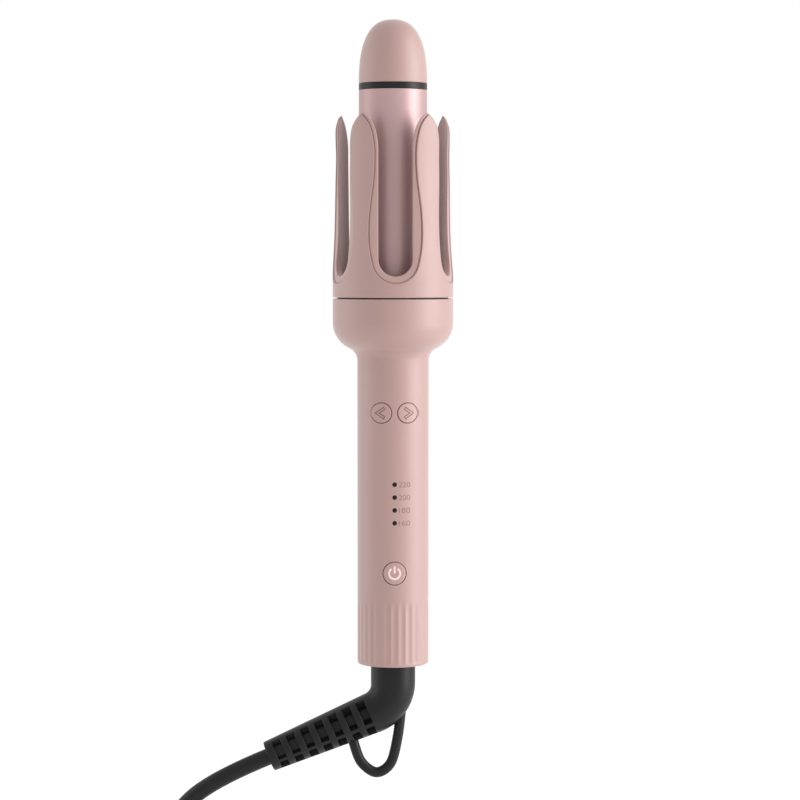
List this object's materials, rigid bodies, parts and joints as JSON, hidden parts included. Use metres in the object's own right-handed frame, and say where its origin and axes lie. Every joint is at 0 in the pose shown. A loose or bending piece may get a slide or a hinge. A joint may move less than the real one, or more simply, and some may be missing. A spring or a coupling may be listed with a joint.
{
  "type": "automatic hair curler",
  "caption": "Hair curler: a slim handle with press buttons, a round head turning a petal cage about a fixed heated barrel, and a swivelling mains cord",
  "frame": {"origin": "on the barrel's axis, at the handle's bottom rim, where a hand's or a stand's grip on the handle is placed", "axes": "+Z along the barrel axis towards the tip; the buttons face -Y"},
  "size_m": [0.147, 0.0687, 0.6096],
  "materials": {
    "shell_pink": "satin moulded plastic with a fine pearl, dusty rose",
    "cage_pink": "satin moulded heat-proof plastic, dusty rose",
    "tip_pink": "matte moulded plastic, dusty rose",
    "barrel_pearl": "pearl ceramic coating on aluminium",
    "ring_black": "matte",
    "button_pink": "satin moulded plastic",
    "lamp_black": "smoked light pipe",
    "rubber_black": "matte moulded rubber",
    "cord_black": "matte sheath",
    "plug_black": "matte moulded",
    "tie_black": "hook and loop band",
    "pin_nickel": "nickel plate",
    "gear_black": "black acetal",
    "steel": "zinc plate",
    "board_green": "glass-epoxy board with solder mask",
    "chip_black": "epoxy package",
    "base_cream": "glass-filled heat-proof plastic",
    "ceramic_white": "fired ceramic",
    "spreader_metal": "extruded",
    "brass": "bare",
    "nylon_grey": "glass-filled nylon",
    "lead_red": "silicone sleeve",
    "lamp_white": "lamp chip"
  },
  "bodies": {
    "handle": {"front_shell": "shell_pink", "rear_shell": "shell_pink", "shell_screws": "steel", "end_cap": "nylon_grey", "tact_switches": "chip_black", "lamp_pipes": "lamp_black", "lamp_chips": "lamp_white", "control_board": "board_green", "control_screws": "steel", "control_chip": "chip_black", "power_board": "board_green", "power_screws": "steel", "board_parts": "chip_black", "smoothing_capacitor": "chip_black", "gear_plate": "nylon_grey", "motor": "steel", "gearbox": "steel", "motor_screws": "steel", "idler_axle": "steel", "idler_washer": "steel", "barrel_base": "base_cream", "base_screws": "steel", "retaining_clip": "steel", "barrel_tube": "barrel_pearl", "tip_ring": "ring_black", "tip_cap": "tip_pink", "front_heat_spreader": "spreader_metal", "rear_heat_spreader": "spreader_metal", "heater_ceramics": "ceramic_white", "temperature_sensor": "ceramic_white", "thermal_fuse": "steel", "swivel_socket": "nylon_grey", "brushes": "brass", "heater_leads": "lead_red", "motor_leads": "lead_red"},
    "cage": {"petal_cage": "cage_pink", "ring_gear": "gear_black", "ring_screws": "steel"},
    "idler": {"idler_gear": "gear_black"},
    "pinion": {"drive_pinion": "gear_black", "output_shaft": "steel"},
    "left_button": {"left_button": "button_pink"},
    "right_button": {"right_button": "button_pink"},
    "power_button": {"power_button": "button_pink"},
    "cord": {"swivel_core": "nylon_grey", "slip_rings": "brass", "cord_guard": "rubber_black", "cord_lead": "cord_black", "cord_hank": "cord_black", "cord_tie": "tie_black", "cord_tail": "cord_black", "plug_body": "plug_black", "plug_pins": "pin_nickel"}
  },
  "joints": [
    {"name": "cage_spin", "type": "hinge", "parent": "handle", "child": "cage", "pos_m": [0, 0, 0.1775], "axis": [0, 0, 1], "continuous": true},
    {"name": "idler_spin", "type": "hinge", "parent": "handle", "child": "idler", "pos_m": [0, 0.018, 0.167], "axis": [0, 0, 1], "continuous": true},
    {"name": "pinion_spin", "type": "hinge", "parent": "handle", "child": "pinion", "pos_m": [0, 0.008, 0.167], "axis": [0, 0, 1], "continuous": true},
    {"name": "left_press", "type": "slide", "parent": "handle", "child": "left_button", "axis": [0, 1, 0], "range_m": [0, 0.0005], "stiffness_N_per_m": 1500},
    {"name": "right_press", "type": "slide", "parent": "handle", "child": "right_button", "axis": [0, 1, 0], "range_m": [0, 0.0005], "stiffness_N_per_m": 1500},
    {"name": "power_press", "type": "slide", "parent": "handle", "child": "power_button", "axis": [0, 1, 0], "range_m": [0, 0.0005], "stiffness_N_per_m": 1500},
    {"name": "cord_swivel", "type": "hinge", "parent": "handle", "child": "cord", "pos_m": [0, 0, 0.003], "axis": [0, 0, 1], "continuous": true}
  ],
  "couplings": [
    {"joint": "idler_spin", "follows": "cage_spin", "ratio": 4.4615},
    {"joint": "pinion_spin", "follows": "cage_spin", "ratio": -4.8333}
  ]
}
